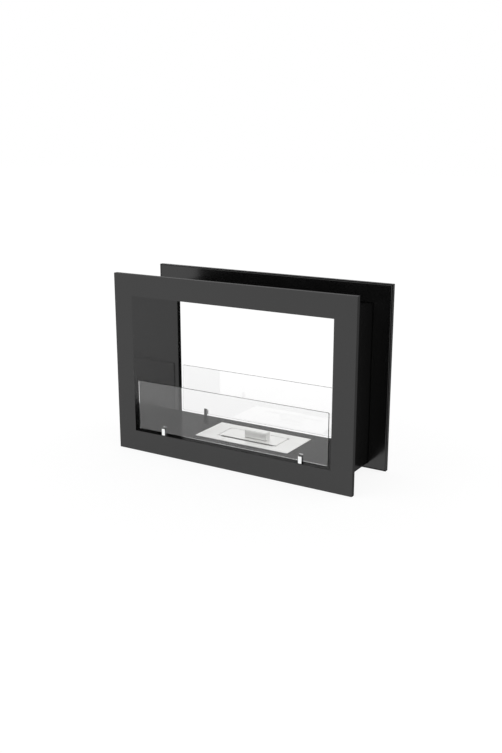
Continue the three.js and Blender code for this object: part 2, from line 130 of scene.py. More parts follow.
# Rivets: height of a head, radius of the shank, and radius of a head's flat end
RIVET_HEAD = 0.8 * MM
RIVET_SHANK = 1.2 * MM
RIVET_FLAT = 0.4 * MM

SLOT_MATERIALS = {
    "black_powder_coat": "satin_powder_coat",
    "brushed_stainless": "belt_brushed_stainless",
    "polished_chrome": "mirror_chrome",
    "zinc_plate": "bright_zinc",
    "clear_glass": "float_glass",
    "black_rubber": "matt_black_rubber",
    "ceramic_wool": "felted_fibre",
}


# Colours

def linear(hex_colour):
    """Turns an sRGB colour, such as '#8090A0', to linear red, green and blue."""
    channels = [int(hex_colour[i:i + 2], 16) / 255 for i in (1, 3, 5)]
    return tuple(c / 12.92 if c <= 0.04045 else ((c + 0.055) / 1.055) ** 2.4 for c in channels)


def opaque(colour, shade=1.0):
    """A colour for a socket, made darker or lighter by the shade; no channel passes 1."""
    return (*(min(c * shade, 1.0) for c in colour), 1.0)


def colour_property(name, description, hex_colour):
    """A colour that a user may change."""
    return bpy.props.FloatVectorProperty(
        name=name, description=description, subtype="COLOR", size=3, min=0.0, max=1.0,
        default=linear(hex_colour))


def length_property(name, description, default):
    """A length in metres that a user may change."""
    return bpy.props.FloatProperty(
        name=name, description=description, default=default, min=0.0, unit="LENGTH", precision=5)


# Properties that a user would change

class FireplaceSizes(bpy.types.PropertyGroup):
    """Sizes that the boxes of the solids don't give."""

    sheet: length_property("Sheet", "Thickness of the folded steel", 1.5 * MM)
    burner_sheet: length_property(
        "Burner sheet", "Thickness of the burner's stainless steel", 1.5 * MM)
    bend: length_property("Bend", "Inside radius of a fold", 0.5 * MM)
    edge: length_property("Edge", "Rounding of a cut and deburred sheet edge", 0.2 * MM)
    seat_gap: length_property(
        "Seat gap", "Clearance between pieces that seat on each other", 0.3 * MM)
    border: length_property(
        "Border", "Width of the frames' faces round their openings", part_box("hearth_floor")[1].z)
    arris: length_property("Arris", "Ground edge of a glass pane", 0.4 * MM)
    pane_corner: length_property("Pane corner", "Radius of a pane's corners", 2.0 * MM)
    clip_outer: length_property(
        "Clip's outer leg", "Height of the leg outside the pane", 17.2 * MM)
    clip_bore: length_property("Clip bore", "Depth of the bore for a clip's screw", 4.4 * MM)
    clip_rounding: length_property("Clip rounding", "Radius at the top of a clip's legs", 0.8 * MM)
    liner: length_property("Liner", "Thickness of a clip's rubber liner", 0.6 * MM)
    liner_drop: length_property(
        "Liner drop", "How far a liner ends below the top of a leg", 1.0 * MM)
    margin_x: length_property(
        "Plate margin, ends", "Width of the plate beside its aperture", 46 * MM)
    margin_y: length_property(
        "Plate margin, sides", "Width of the plate along its aperture", 25 * MM)
    plate_corner: length_property(
        "Plate corner", "Radius of the corners of plate and lid", 2.0 * MM)
    burner_lap: length_property("Burner lap", "How far the plate lies on the floor", 8 * MM)
    cutout_corner: length_property(
        "Cut-out corner", "Radius of the corners of the floor's cut-out and the tank", 6 * MM)
    screw_bore: length_property("Screw bore", "Radius of a hole for a screw", 2.3 * MM)
    sink: length_property("Countersink", "Radius of a countersink at the face", 3.9 * MM)
    socket: length_property("Socket", "Half the width across flats of a screw's socket", 1.25 * MM)
    grip_flange: length_property("Grip flange", "Width of the grip's turned-in flanges", 8 * MM)


class FireplaceColours(bpy.types.PropertyGroup):
    """Colours of the finishes, as seen under white light."""

    coat: colour_property("Coat", "Reflection of the black powder coat", "#444444")
    coat_edge: colour_property(
        "Coat at a glancing angle", "Tint of the coat's glancing reflection", "#202020")
    stainless: colour_property("Stainless", "Brushed stainless steel of the burner", "#EEEEEC")
    chrome: colour_property("Chrome", "Polished chrome of the clips", "#FAFBFB")
    glass: colour_property("Glass", "Clear glass of the panes", "#FFFFFF")
    rubber: colour_property("Rubber", "Black rubber liners in the clips", "#1D1D1E")
    zinc: colour_property("Zinc", "Bright zinc plate of the screws", "#C0C4C9")
    wool: colour_property("Wool", "Ceramic wool in the tank", "#ECEAE3")
    floor: colour_property("Floor", "Pale studio floor", "#FFFFFF")


class FireplaceStudio(bpy.types.PropertyGroup):
    """Where the camera stands, and how bright the studio is."""

    camera_place: bpy.props.FloatVectorProperty(
        name="Camera place", description="Where the camera stands", size=3, subtype="TRANSLATION",
        unit="LENGTH", default=(1.1134, -1.8079, 0.7703))
    azimuth: bpy.props.FloatProperty(
        name="Azimuth", description="How far the camera is turned to the left of +Y",
        subtype="ANGLE", default=math.radians(31.505))
    pitch: bpy.props.FloatProperty(
        name="Pitch", description="How far the camera looks down", subtype="ANGLE",
        default=math.radians(14.851))
    focal_pixels: bpy.props.FloatProperty(
        name="Focal length in pixels", description="Distance of the image plane, in pixels",
        default=912.23, min=1.0)
    world_level: bpy.props.FloatProperty(
        name="World level", description="Strength of the white world on matt surfaces",
        default=0.75, min=0.0, max=2.0)
    key_power: bpy.props.FloatProperty(
        name="Key lamp", description="Power of the large lamp at the front left", unit="POWER",
        default=22.0, min=0.0)
    fill_power: bpy.props.FloatProperty(
        name="Fill lamp", description="Power of the large lamp at the rear right", unit="POWER",
        default=10.0, min=0.0)
    shadow_share: bpy.props.FloatProperty(
        name="Shadow share", description="Share of the floor that shows the object's shadow",
        subtype="FACTOR", default=0.14, min=0.0, max=1.0)


# Points and sections

def arc(centre, radius, start, turn, steps):
    """Points centre + radius (cos a, sin a), with the angle a going from start through turn."""
    angle = start + np.linspace(0.0, turn, steps + 1)
    return np.stack([centre[0] + radius * np.cos(angle), centre[1] + radius * np.sin(angle)], 1)


def quarter_round(radius, steps):
    """Insets r (1 - sin a) and rises r (1 - cos a) of a rounded edge.

    The angle a goes from 0 to 90 degrees, so the inset falls from r to 0 and the rise grows to r.
    """
    angle = np.linspace(0.0, math.pi / 2, steps + 1)
    return radius * (1 - np.sin(angle)), radius * (1 - np.cos(angle))


def rounded_rectangle(length, width, radius, steps=6):
    """Four quarter circles about the corners' centres, joined by the straight sides."""
    x, y = length / 2 - radius, width / 2 - radius
    corners = [((x, -y), -0.5), ((x, y), 0.0), ((-x, y), 0.5), ((-x, -y), 1.0)]
    return np.concatenate([arc(c, radius, a * math.pi, math.pi / 2, steps) for c, a in corners])


def filleted(line, radii, steps):
    """A line of right-angled corners with each inner corner replaced by a quarter circle.

    The circle's centre lies one radius along both legs, and it runs from leg to leg.
    """
    points = [line[:1]]
    for before, corner, after, radius in zip(line[:-2], line[1:-1], line[2:], radii):
        back = (before - corner) / np.linalg.norm(before - corner)
        on = (after - corner) / np.linalg.norm(after - corner)
        angle = np.linspace(0.0, math.pi / 2, steps + 1)[:, None]
        centre = corner + radius * (back + on)
        points.append(centre - radius * (on * np.cos(angle) + back * np.sin(angle)))
    return np.concatenate([*points, line[-1:]])


def folded_section(line, thickness, bend, steps=6):
    """The closed section of a bent sheet: the given line, and the line one thickness to its left.

    Inside a bend the radius is the bend radius, and outside it is larger by the thickness.
    """
    line = np.asarray(line, float)
    along = np.diff(line, axis=0)
    along /= np.linalg.norm(along, axis=1)[:, None]
    left = np.stack([-along[:, 1], along[:, 0]], 1)
    shift = np.concatenate([left[:1], left[:-1] + left[1:], left[-1:]])
    offset = line + thickness * shift
    turns_left = np.einsum("ij,ij->i", left[:-1], along[1:]) > 0
    given = filleted(line, np.where(turns_left, bend + thickness, bend), steps)
    other = filleted(offset, np.where(turns_left, bend, bend + thickness), steps)
    return np.concatenate([given, other[::-1]])


# Surfaces on a grid of two parameters

def grid_faces(rows, columns, wrap_rows):
    """Quads between neighbouring rows of a grid whose columns close on themselves."""
    last = rows if wrap_rows else rows - 1
    row, column = np.meshgrid(np.arange(last), np.arange(columns), indexing="ij")
    below, beside = (row + 1) % rows, (column + 1) % columns
    quad = [row * columns + column, row * columns + beside, below * columns + beside,
            below * columns + column]
    return np.stack([q.ravel() for q in quad], 1)


def loops_mesh(name, loops, closed):
    """A mesh through a stack of loops: position = loops[row, column].

    A closed stack joins its last loop to its first, and an open one is capped at both ends.
    """
    rows, columns = loops.shape[:2]
    faces = grid_faces(rows, columns, closed).tolist()
    if not closed:
        faces.append(list(range(columns - 1, -1, -1)))
        faces.append(list(range((rows - 1) * columns, rows * columns)))
    mesh = bpy.data.meshes.new(name)
    mesh.from_pydata(loops.reshape(-1, 3).tolist(), [], faces)
    turn_outwards(mesh)
    return mesh


def turn_outwards(mesh):
    """Makes the faces of a closed mesh point outwards."""
    work = bmesh.new()
    work.from_mesh(mesh)
    bmesh.ops.recalc_face_normals(work, faces=work.faces)
    work.to_mesh(mesh)
    work.free()


def joined_mesh(name, meshes):
    """One mesh that holds several closed shells side by side."""
    work = bmesh.new()
    for mesh in meshes:
        work.from_mesh(mesh)
        bpy.data.meshes.remove(mesh)
    whole = bpy.data.meshes.new(name)
    work.to_mesh(whole)
    work.free()
    return whole


def mitred_ring(name, outline, hole, section, place):
    """A section carried round a rectangle with mitred corners.

    A point of the section at inset u and depth d lies on the rectangle that is u inside the
    outline. In the inner half of the section the rectangle is measured from the hole instead.
    Rectangles are (left, right, low, high), and place turns (a, b, depth) to x, y, z.
    """
    width = hole[0] - outline[0]
    inner = section[:, 0] >= width / 2
    inset = np.where(inner, section[:, 0] - width, section[:, 0])
    base = np.where(inner[:, None], np.asarray(hole), np.asarray(outline))
    left, right, low, high = (base + inset[:, None] * np.array([1, -1, 1, -1])).T
    a = np.stack([left, right, right, left], 1)
    b = np.stack([low, low, high, high], 1)
    depth = np.broadcast_to(section[:, 1:], a.shape)
    return loops_mesh(name, place(a, b, depth), closed=True)


def sheet_along_x(name, section, low, high):
    """A section in y and z carried straight from x = low to x = high, closed at both ends."""
    x = np.array([low, high])
    loops = np.stack([
        np.broadcast_to(x[:, None], (2, len(section))),
        np.broadcast_to(section[:, 0], (2, len(section))),
        np.broadcast_to(section[:, 1], (2, len(section)))], -1)
    return loops_mesh(name, loops, closed=False)


def plan_loops(length, width, radius, centre, insets, heights, steps=6):
    """Loops of a flat part with round corners: the outline drawn in by inset, at each height."""
    loops = []
    for inset, height in zip(insets, heights):
        outline = rounded_rectangle(
            length - 2 * inset, width - 2 * inset, max(radius - inset, LEAST_RADIUS), steps)
        level = np.full(len(outline), height)
        loops.append(np.column_stack([outline + np.asarray(centre), level]))
    return np.stack(loops)


def lathed_mesh(name, profile, centre, columns=36):
    """A turned part, whose rows may be round or six-sided.

    Each row of the profile is (radius, height, share): position = radius r(a) (cos a, sin a).
    There r(a) goes from 1 at share 0 to the hexagon 1 / cos(a within 30 degrees) at share 1.
    """
    angle = np.linspace(0.0, 2 * math.pi, columns, endpoint=False)
    sixth = (angle + math.pi / 6) % (math.pi / 3) - math.pi / 6
    radius, height, share = (np.asarray(c)[:, None] for c in zip(*profile))
    bow = 1 + share * (1 / np.cos(sixth) - 1)
    loops = np.stack([
        centre[0] + radius * bow * np.cos(angle),
        centre[1] + radius * bow * np.sin(angle),
        np.broadcast_to(centre[2] + height, (len(profile), columns))], -1)
    return loops_mesh(name, loops, closed=False)


# Pieces

def new_piece(name, mesh, body, slot, replaced, edge=0.0, sharp=CREASE):
    """Puts a mesh in the scene as a piece that rides on a body, with its edges rounded."""
    mesh.name = name
    mesh.materials.clear()
    mesh.materials.append(bpy.data.materials[SLOT_MATERIALS[slot]])
    mesh.polygons.foreach_set("use_smooth", np.ones(len(mesh.polygons), bool))
    mesh.set_sharp_from_angle(angle=math.radians(sharp))
    piece = bpy.data.objects.new(name, mesh)
    bpy.context.scene.collection.objects.link(piece)
    if edge > 0:
        rounding = piece.modifiers.new("Rounded edges", "BEVEL")
        rounding.width = edge
        rounding.segments = 2
        rounding.limit_method = "ANGLE"
        rounding.angle_limit = math.radians(sharp)
        rounding.harden_normals = True
    flats = piece.modifiers.new("Flat faces", "WEIGHTED_NORMAL")
    flats.keep_sharp = True
    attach(piece, body)
    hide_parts(replaced)
    return piece


def cut_mesh(mesh, cutters):
    """The mesh with the closed cutter meshes taken out of it."""
    scene = bpy.context.scene
    whole = bpy.data.objects.new("uncut", mesh)
    scene.collection.objects.link(whole)
    tools = []
    for cutter in cutters:
        tool = bpy.data.objects.new("cutter", cutter)
        scene.collection.objects.link(tool)
        cut = whole.modifiers.new("Cut", "BOOLEAN")
        cut.operation = "DIFFERENCE"
        cut.solver = "EXACT"
        cut.object = tool
        tools.append(tool)
    graph = bpy.context.evaluated_depsgraph_get()
    result = bpy.data.meshes.new_from_object(whole.evaluated_get(graph))
    for thing in (whole, *tools):
        spare = thing.data
        bpy.data.objects.remove(thing)
        bpy.data.meshes.remove(spare)
    return result


def bore_mesh(x, y, low, high, radius, sunk=0.0, sink_depth=0.0):
    """A cutter for a round hole, with a countersink at its low end where sunk is given.

    A countersink's cone begins at the face that it sinks into, one overshoot above the low end.
    """
    face = low + OVERSHOOT
    rows = [(radius, low, 0.0), (radius, high, 0.0)]
    if sunk > 0:
        rows = [(sunk, low, 0.0), (sunk, face, 0.0), (radius, face + sink_depth, 0.0), rows[1]]
    return lathed_mesh("bore", rows, (x, y, 0.0), columns=32)


def box_of(node):
    """A solid's lowest and highest corners, as arrays."""
    low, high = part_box(node)
    return np.array(low), np.array(high)


def middle_of(node):
    """The middle of a solid's box."""
    low, high = box_of(node)
    return (low + high) / 2


def nodes_like(*words):
    """Names of the solids that hold all the words, in order."""
    return sorted(n for n in frame["nodes"] if all(word in n for word in words))


# Materials

def add_node(tree, kind, inputs=None, **settings):
    """Adds a node with its settings, and fills its inputs with values or other nodes' outputs."""
    node = tree.nodes.new(kind)
    for name, value in settings.items():
        setattr(node, name, value)
    for name, value in (inputs or {}).items():
        if isinstance(value, bpy.types.NodeSocket):
            tree.links.new(value, node.inputs[name])
        else:
            node.inputs[name].default_value = value
    return node


def new_material(name):
    """An empty node material, with the object's own coordinates at hand."""
    if name in bpy.data.materials:
        raise RuntimeError(f"there is already a material named {name}")
    material = bpy.data.materials.new(name)
    material.use_nodes = True
    tree = material.node_tree
    tree.nodes.clear()
    place = add_node(tree, "ShaderNodeTexCoord").outputs["Object"]
    return material, tree, place


def surface(tree, shader):
    """Ends a material with its shader."""
    add_node(tree, "ShaderNodeOutputMaterial", {"Surface": shader.outputs[0]})


def per_metre(size):
    """The scale of a texture whose features are as large as the given size."""
    return 1.0 / size


def noise(tree, place, size, detail=2.0, roughness=0.5):
    """A cloudy pattern whose features are as large as the given size."""
    return add_node(tree, "ShaderNodeTexNoise", {
        "Vector": place, "Scale": per_metre(size), "Detail": detail, "Roughness": roughness,
    }).outputs["Fac"]


def between(tree, factor, low, high):
    """Spreads the range in which a noise mostly lies, 0.3 to 0.7, from low to high."""
    return add_node(tree, "ShaderNodeMapRange", {
        "Value": factor, "From Min": 0.3, "From Max": 0.7, "To Min": low, "To Max": high,
    }).outputs["Result"]


def bump(tree, height, depth, strength):
    """Tilts a surface's normal as if the pattern stood up by the given depth."""
    return add_node(tree, "ShaderNodeBump", {
        "Height": height, "Distance": depth, "Strength": strength}).outputs["Normal"]


def stretched(tree, place, x, y, z):
    """Draws a pattern out along an axis whose scale is below 1."""
    node = add_node(tree, "ShaderNodeMapping", {"Vector": place, "Scale": (x, y, z)})
    return node.outputs["Vector"]


def shaded(tree, factor, colour, dark, light):
    """A colour that a pattern takes from its dark shade to its light one.

    The Mix node's sockets go by number, because they share their names: 0 is the factor, 6 and 7
    are the two colours, and 2 is the colour that comes out.
    """
    return add_node(tree, "ShaderNodeMix", {
        0: factor, 6: opaque(colour, dark), 7: opaque(colour, light)}, data_type="RGBA").outputs[2]


def seen_share(tree):
    """One for the camera, in gloss and through glass, and zero where the surface only lights."""
    path = add_node(tree, "ShaderNodeLightPath").outputs
    seen = path["Is Camera Ray"]
    for ray in ("Is Glossy Ray", "Is Transmission Ray"):
        seen = add_node(
            tree, "ShaderNodeMath", {0: seen, 1: path[ray]}, operation="MAXIMUM").outputs[0]
    return seen


def powder_coat(colours):
    """Black polyester powder coat, sprayed dry and baked: a deep satin black, softly mirroring.

    It mirrors its surroundings at a few hundredths, nearly as weakly at a glancing angle as from
    the front, and what it doesn't mirror is almost black. The metallic share is that dark mirror
    and not bare metal. A thin clear gloss on top brightens the hearth floor, which is seen at a
    glancing angle; its index is matched. The baked film keeps a faint orange peel with
    waves of about 2 mm.
    """
    material, tree, place = new_material("satin_powder_coat")
    peel = noise(tree, place, 2.2 * MM, detail=1.0)
    cloud = noise(tree, place, 60 * MM, detail=2.0)
    shader = add_node(tree, "ShaderNodeBsdfPrincipled", {
        "Base Color": opaque(colours.coat),
        "Metallic": 0.915,
        "Roughness": between(tree, cloud, 0.16, 0.20),
        "Coat Weight": 0.24,
        "Coat Roughness": 0.18,
        "Coat IOR": 1.3,
        "Specular Tint": opaque(colours.coat_edge),
        "Normal": bump(tree, peel, 0.012 * MM, 0.3),
    })
    surface(tree, shader)
    return material


def brushed_stainless(colours):
    """Stainless steel sheet, brushed with a belt along X: fine lines that blur what it mirrors.

    Real brush lines lie about 0.1 mm apart; they are drawn 0.8 mm apart, so that they show.
    """
    material, tree, place = new_material("belt_brushed_stainless")
    lines = noise(tree, stretched(tree, place, 0.02, 1.0, 1.0), 0.8 * MM, detail=3.0)
    cloud = noise(tree, place, 25 * MM, detail=2.0)
    shader = add_node(tree, "ShaderNodeBsdfPrincipled", {
        "Base Color": shaded(tree, lines, colours.stainless, 0.93, 1.05),
        "Metallic": 1.0,
        "Roughness": between(tree, cloud, 0.28, 0.36),
        "Normal": bump(tree, lines, 0.02 * MM, 0.25),
    })
    surface(tree, shader)
    return material


def polished_chrome(colours):
    """Chrome plate on a polished block: a nearly perfect mirror with a very faint haze."""
    material, tree, place = new_material("mirror_chrome")
    haze = noise(tree, place, 3 * MM, detail=2.0)
    shader = add_node(tree, "ShaderNodeBsdfPrincipled", {
        "Base Color": opaque(colours.chrome),
        "Metallic": 1.0,
        "Roughness": between(tree, haze, 0.03, 0.06),
    })
    surface(tree, shader)
    return material


def clear_glass(colours):
    """Toughened float glass with ground edges: clear, and very slightly wavy from tempering.

    Float glass has an index of 1.52. The photographed panes mirror the studio as strongly as 1.58.
    """
    material, tree, place = new_material("float_glass")
    wave = noise(tree, place, 80 * MM, detail=0.0)
    shader = add_node(tree, "ShaderNodeBsdfPrincipled", {
        "Base Color": opaque(colours.glass),
        "Transmission Weight": 1.0,
        "Roughness": 0.0,
        "IOR": 1.58,
        "Normal": bump(tree, wave, 0.01 * MM, 0.1),
    })
    surface(tree, shader)
    return material


def black_rubber(colours):
    """Extruded EPDM rubber: a matt black strip with a dry, faintly grained skin."""
    material, tree, place = new_material("matt_black_rubber")
    grain = noise(tree, place, 0.4 * MM, detail=2.0)
    shader = add_node(tree, "ShaderNodeBsdfPrincipled", {
        "Base Color": shaded(tree, grain, colours.rubber, 0.8, 1.2),
        "Roughness": between(tree, grain, 0.55, 0.7),
        "Normal": bump(tree, grain, 0.02 * MM, 0.5),
    })
    surface(tree, shader)
    return material


def zinc_plate(colours):
    """Bright zinc plate on steel screws: a grey metal with a mottled, slightly dull surface."""
    material, tree, place = new_material("bright_zinc")
    mottle = noise(tree, place, 1.2 * MM, detail=3.0)
    shader = add_node(tree, "ShaderNodeBsdfPrincipled", {
        "Base Color": shaded(tree, mottle, colours.zinc, 0.85, 1.0),
        "Metallic": 1.0,
        "Roughness": between(tree, mottle, 0.28, 0.42),
    })
    surface(tree, shader)
    return material


def ceramic_wool(colours):
    """Matted ceramic fibre: matt and white, with a felted surface of short lumps and fibres."""
    material, tree, place = new_material("felted_fibre")
    along = stretched(tree, place, 1.0, 0.35, 1.0)
    fibres = noise(tree, along, 1.4 * MM, detail=5.0, roughness=0.7)
    shader = add_node(tree, "ShaderNodeBsdfPrincipled", {
        "Base Color": shaded(tree, fibres, colours.wool, 0.8, 1.0),
        "Roughness": 1.0,
        "Normal": bump(tree, fibres, 0.5 * MM, 0.8),
    })
    surface(tree, shader)
    return material


# Stage

def studio_world(studio):
    """A white room, plain white to the camera and in glass and gloss, which lights softly."""
    world = bpy.data.worlds.new("studio")
    world.use_nodes = True
    tree = world.node_tree
    tree.nodes.clear()
    soft = add_node(tree, "ShaderNodeBackground", {"Color": WHITE, "Strength": studio.world_level})
    plain = add_node(tree, "ShaderNodeBackground", {"Color": WHITE, "Strength": 1.0})
    mixed = add_node(tree, "ShaderNodeMixShader", {
        0: seen_share(tree), 1: soft.outputs[0], 2: plain.outputs[0]})
    add_node(tree, "ShaderNodeOutputWorld", {"Surface": mixed.outputs[0]})
    bpy.context.scene.world = world


def studio_floor(studio, colours):
    """A wide flat sheet, z = 0 on a grid in x and y, mostly shown as plain white.

    Near the object a share of it is lit paint, which shows the shadow. The plain share makes up
    for the paint's, so that together they come to a strength of 1 where no shadow lies.
    """
    line = np.linspace(-FLOOR_REACH, FLOOR_REACH, 3)
    x, y = np.meshgrid(line, line, indexing="ij")
    points = np.stack([x, y, np.zeros_like(x)], -1).reshape(-1, 3)
    row, column = np.meshgrid(np.arange(2), np.arange(2), indexing="ij")
    start = (row * 3 + column).ravel()
    faces = np.stack([start, start + 3, start + 4, start + 1], 1)
    mesh = bpy.data.meshes.new("studio_floor")
    mesh.from_pydata(points.tolist(), [], faces.tolist())
    material, tree, place = new_material("studio_floor")
    far = add_node(tree, "ShaderNodeVectorMath", {0: place}, operation="LENGTH").outputs["Value"]
    plain = add_node(tree, "ShaderNodeMapRange", {
        "Value": far, "From Min": SHADOW_ENDS[0], "From Max": SHADOW_ENDS[1],
        "To Min": 1.0 - studio.shadow_share, "To Max": 1.0,
    }, interpolation_type="SMOOTHSTEP").outputs["Result"]
    share = add_node(tree, "ShaderNodeMath", {
        0: seen_share(tree), 1: plain}, operation="MULTIPLY").outputs[0]
    paint = add_node(tree, "ShaderNodeBsdfDiffuse", {"Color": opaque(colours.floor)})
    white = add_node(tree, "ShaderNodeEmission", {"Color": WHITE, "Strength": PLAIN_STRENGTH})
    mixed = add_node(tree, "ShaderNodeMixShader", {
        0: share, 1: paint.outputs[0], 2: white.outputs[0]})
    surface(tree, mixed)
    mesh.materials.append(material)
    floor = bpy.data.objects.new("studio_floor", mesh)
    bpy.context.scene.collection.objects.link(floor)


def area_lamp(name, place, target, power):
    """A large soft lamp that faces its target and shows in no reflection."""
    data = bpy.data.lights.new(name, "AREA")
    data.shape = "SQUARE"
    data.size = LAMP_SIZE
    data.energy = power
    lamp = bpy.data.objects.new(name, data)
    lamp.location = place
    lamp.rotation_euler = (Vector(target) - Vector(place)).to_track_quat("-Z", "Y").to_euler()
    lamp.visible_glossy = False
    lamp.visible_transmission = False
    lamp.visible_camera = False
    bpy.context.scene.collection.objects.link(lamp)


def studio_camera(studio):
    """The photograph's view: the long side of the image takes the whole sensor width."""
    data = bpy.data.cameras.new("camera")
    data.sensor_width = SENSOR_WIDTH
    data.lens = studio.focal_pixels * SENSOR_WIDTH / max(IMAGE_WIDTH, IMAGE_HEIGHT)
    camera = bpy.data.objects.new("camera", data)
    camera.location = studio.camera_place
    camera.rotation_euler = (math.pi / 2 - studio.pitch, 0.0, studio.azimuth)
    bpy.context.scene.collection.objects.link(camera)
    bpy.context.scene.camera = camera


class FIREPLACE_OT_stage(bpy.types.Operator):
    """Sets up the white studio: world, floor, two soft lamps and the camera"""

    bl_idname = "fireplace.stage"
    bl_label = "Studio"

    def execute(self, context):
        studio = context.scene.fireplace_studio
        context.scene.view_settings.view_transform = "Standard"
        studio_world(studio)
        studio_floor(studio, context.scene.fireplace_colours)
        target = (CAD_BOX[0] + CAD_BOX[1]) / 2
        area_lamp("key_lamp", KEY_PLACE, target, studio.key_power)
        area_lamp("fill_lamp", FILL_PLACE, target, studio.fill_power)
        studio_camera(studio)
        return {"FINISHED"}


class FIREPLACE_OT_materials(bpy.types.Operator):
    """Makes the materials and gives each solid that stays in view its own"""

    bl_idname = "fireplace.materials"
    bl_label = "Materials"

    def execute(self, context):
        colours = context.scene.fireplace_colours
        for make in (powder_coat, brushed_stainless, polished_chrome, clear_glass, black_rubber,
                     zinc_plate, ceramic_wool):
            make(colours)
        for part in frame["record"]["subparts"]:
            node = frame["nodes"][part["node"]]
            node.data.materials.clear()
            node.data.materials.append(bpy.data.materials[SLOT_MATERIALS[part["material_slot"]]])
        return {"FINISHED"}


# Frames

def frame_place(end):
    """Turns (a, b, depth) to x, y, z for one frame, whose face has depth zero."""
    low, high = box_of(f"{end}_frame")
    if end == "front":
        return lambda a, b, depth: np.stack([a, low[1] + depth, b], -1)
    return lambda a, b, depth: np.stack([a, high[1] - depth, b], -1)


def frame_screw_bores(end, sizes, sink):
    """Cutters for the screw holes under one frame, countersunk from below where sink is true."""
    low, sunk, depth = (-OVERSHOOT, sizes.sink, sizes.sheet) if sink else (0.0, 0.0, 0.0)
    places = [middle_of(name) for name in nodes_like(end, "frame_screw")]
    return [bore_mesh(x, y, low, FRAME_BORE_TOP, sizes.screw_bore, sunk, depth)
            for x, y, _ in places]


def frame_tray(end, sizes):
    """The face and its turned edge: an L-section carried round the frame with mitred corners."""
    low, high = box_of(f"{end}_frame")
    depth, border = high[1] - low[1], sizes.border
    outline = (low[0], high[0], low[2], high[2])
    hole = (low[0] + border, high[0] - border, low[2] + border, high[2] - border)
    line = [(0.0, depth), (0.0, 0.0), (border, 0.0)]
    section = folded_section(line, sizes.sheet, sizes.bend)
    mesh = mitred_ring("tray", outline, hole, section, frame_place(end))
    return cut_mesh(mesh, frame_screw_bores(end, sizes, sink=True))


def frame_collar(end, sizes):
    """The closing collar: a channel section carried round between the tray and the tunnel."""
    face_low, face_high = box_of(f"{end}_frame")
    low, high = box_of(f"{end}_frame_collar")
    wall_low = box_of("tunnel_wall_left")[0]
    wall_high = box_of("tunnel_wall_right")[1]
    base = box_of("base_cover")[0][2]
    top = box_of("tunnel_ceiling")[1][2]
    gap = sizes.seat_gap
    outline = (low[0], high[0], low[2], high[2])
    hole = (wall_low[0] - gap, wall_high[0] + gap, base - gap, top + gap)
    back = face_high[1] - face_low[1]
    front = back - (high[1] - low[1])
    width = hole[0] - outline[0]
    line = [(width, front), (width, back), (0.0, back), (0.0, front)]
    section = folded_section(line, sizes.sheet, sizes.bend)
    mesh = mitred_ring("collar", outline, hole, section, frame_place(end))
    return cut_mesh(mesh, frame_screw_bores(end, sizes, sink=False))


class FIREPLACE_OT_frames(bpy.types.Operator):
    """Builds both frames: a folded tray with the opening, and the collar that closes it"""

    bl_idname = "fireplace.frames"
    bl_label = "Frames"

    def execute(self, context):
        sizes = context.scene.fireplace_sizes
        for end in ("front", "rear"):
            new_piece(f"{end}_frame_tray", frame_tray(end, sizes), "body",
                      "black_powder_coat", f"{end}_frame", sizes.edge)
            new_piece(f"{end}_frame_back", frame_collar(end, sizes), "body",
                      "black_powder_coat", f"{end}_frame_collar", sizes.edge)
        return {"FINISHED"}


# Hearth floor

class FIREPLACE_OT_hearth(bpy.types.Operator):
    """Builds the tunnel's floor with its turned edges, the burner's cut-out and the clip holes"""

    bl_idname = "fireplace.hearth"
    bl_label = "Hearth floor"

    def execute(self, context):
        sizes = context.scene.fireplace_sizes
        low, high = box_of("hearth_floor")
        line = [(high[1], low[2]), (high[1], high[2]), (low[1], high[2]), (low[1], low[2])]
        section = folded_section(line, sizes.sheet, sizes.bend)
        mesh = sheet_along_x("hearth", section, low[0], high[0])
        plate_low, plate_high = box_of("burner_plate")
        length, width = (plate_high - plate_low)[:2] - 2 * sizes.burner_lap
        centre = middle_of("burner_plate")[:2]
        span = [high[2] - FLOOR_CUT, high[2] + FLOOR_CUT]
        hole = loops_mesh("cut-out", plan_loops(
            length, width, sizes.cutout_corner, centre, [0.0, 0.0], span), closed=False)
        bores = [bore_mesh(*middle_of(n)[:2], span[0], span[1], sizes.screw_bore)
                 for n in nodes_like("clip_screw")]
        new_piece("hearth_floor_folded", cut_mesh(mesh, [hole, *bores]), "body",
                  "black_powder_coat", "hearth_floor", sizes.edge)
        return {"FINISHED"}


# Glass panes

def pane_mesh(node, sizes):
    """A pane: its outline with round corners, drawn in by the arris at both faces.

    The ground edge is a flat band between two quarter rounds, which the loops follow.
    """
    low, high = box_of(node)
    width, thickness, height = high - low
    inset, depth = quarter_round(sizes.arris, 4)
    insets = np.concatenate([inset, inset[::-1]])
    depths = np.concatenate([depth, thickness - depth[::-1]])
    flat = plan_loops(width, height, sizes.pane_corner, (0.0, 0.0), insets, depths, steps=8)
    x, z, y = np.moveaxis(flat, -1, 0)
    centre = (low + high) / 2
    loops = np.stack([centre[0] + x, low[1] + y, centre[2] + z], -1)
    return loops_mesh("pane", loops, closed=False)


class FIREPLACE_OT_panes(bpy.types.Operator):
    """Builds the two glass panes with their round corners and ground edges"""

    bl_idname = "fireplace.panes"
    bl_label = "Glass panes"

    def execute(self, context):
        sizes = context.scene.fireplace_sizes
        for end in ("front", "rear"):
            glass = f"{end}_glass"
            new_piece(f"{end}_pane", pane_mesh(glass, sizes), glass,
                      "clear_glass", glass, sharp=GLASS_CREASE)
        return {"FINISHED"}


# Clips

def across_pane(end, node, section):
    """A section in (s, z), with s outwards from a clip's middle, turned to y and z."""
    outward = -1 if end == "front" else 1
    return np.stack([middle_of(node)[1] + outward * section[:, 0], section[:, 1]], 1)


